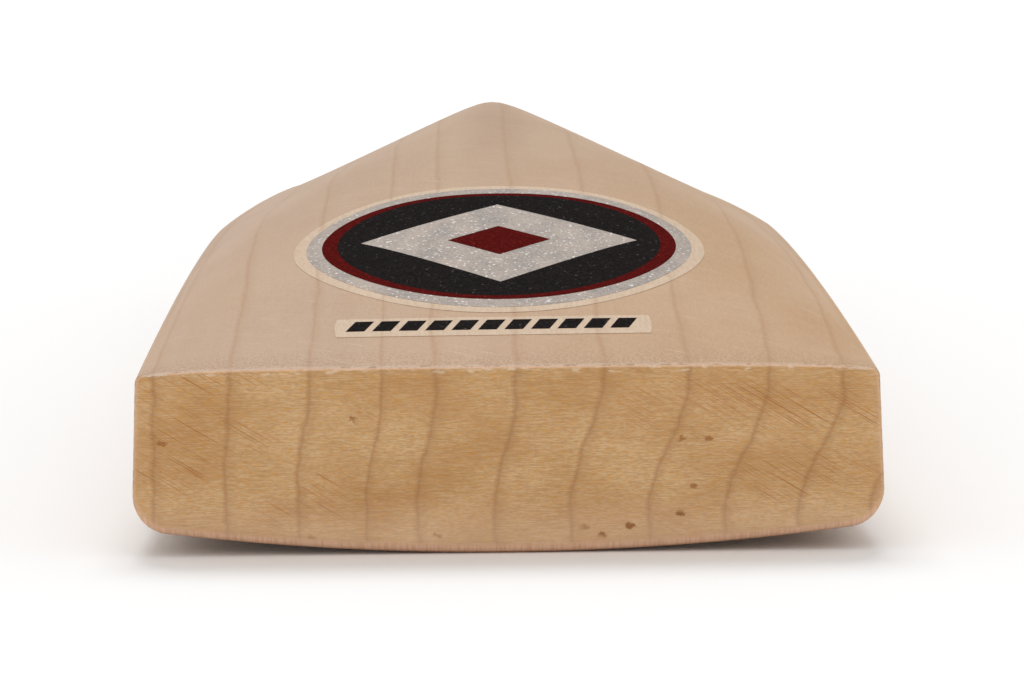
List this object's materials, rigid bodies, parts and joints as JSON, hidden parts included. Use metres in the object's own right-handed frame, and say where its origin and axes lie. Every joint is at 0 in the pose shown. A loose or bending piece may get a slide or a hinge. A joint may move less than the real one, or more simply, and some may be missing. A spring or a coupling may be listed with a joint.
{
  "type": "cricket bat",
  "caption": "Full-size cricket bat: a tapered willow blade with a high rounded spine, a spliced laminated cane handle, twine binding, a rubber grip and plain back decals.",
  "frame": {"origin": "middle of the bat's length and width, at the height of the lowest line of the face", "axes": "+Y from the toe to the end of the handle, +Z from the face to the back with its spine, +X across the blade"},
  "size_m": [0.108, 0.85, 0.0605],
  "materials": {
    "willow": "sanded and lightly oiled, satin; bare sawn end grain on the toe",
    "cane": "planed cane, satin",
    "insert_rubber": "matte",
    "twine": "waxed linen thread wound side by side",
    "grip_rubber": "moulded rubber with small raised chevrons, matte",
    "badge_foil": "glitter foil printed in dark red and black",
    "clear_film": "clear glossy film",
    "strip_film": "clear glossy film with black bars"
  },
  "bodies": {
    "root": {"blade": "willow", "cane_strip_1_1": "cane", "cane_strip_1_2": "cane", "cane_strip_1_3": "cane", "cane_strip_2_1": "cane", "cane_strip_2_2": "cane", "cane_strip_2_3": "cane", "cane_strip_3_1": "cane", "cane_strip_3_2": "cane", "cane_strip_3_3": "cane", "cane_strip_4_1": "cane", "cane_strip_4_2": "cane", "cane_strip_4_3": "cane", "rubber_insert_1": "insert_rubber", "rubber_insert_2": "insert_rubber", "rubber_insert_3": "insert_rubber", "twine_binding": "twine", "rubber_grip": "grip_rubber", "badge_label": "badge_foil", "badge_film": "clear_film", "strip_label": "strip_film"}
  },
  "joints": []
}
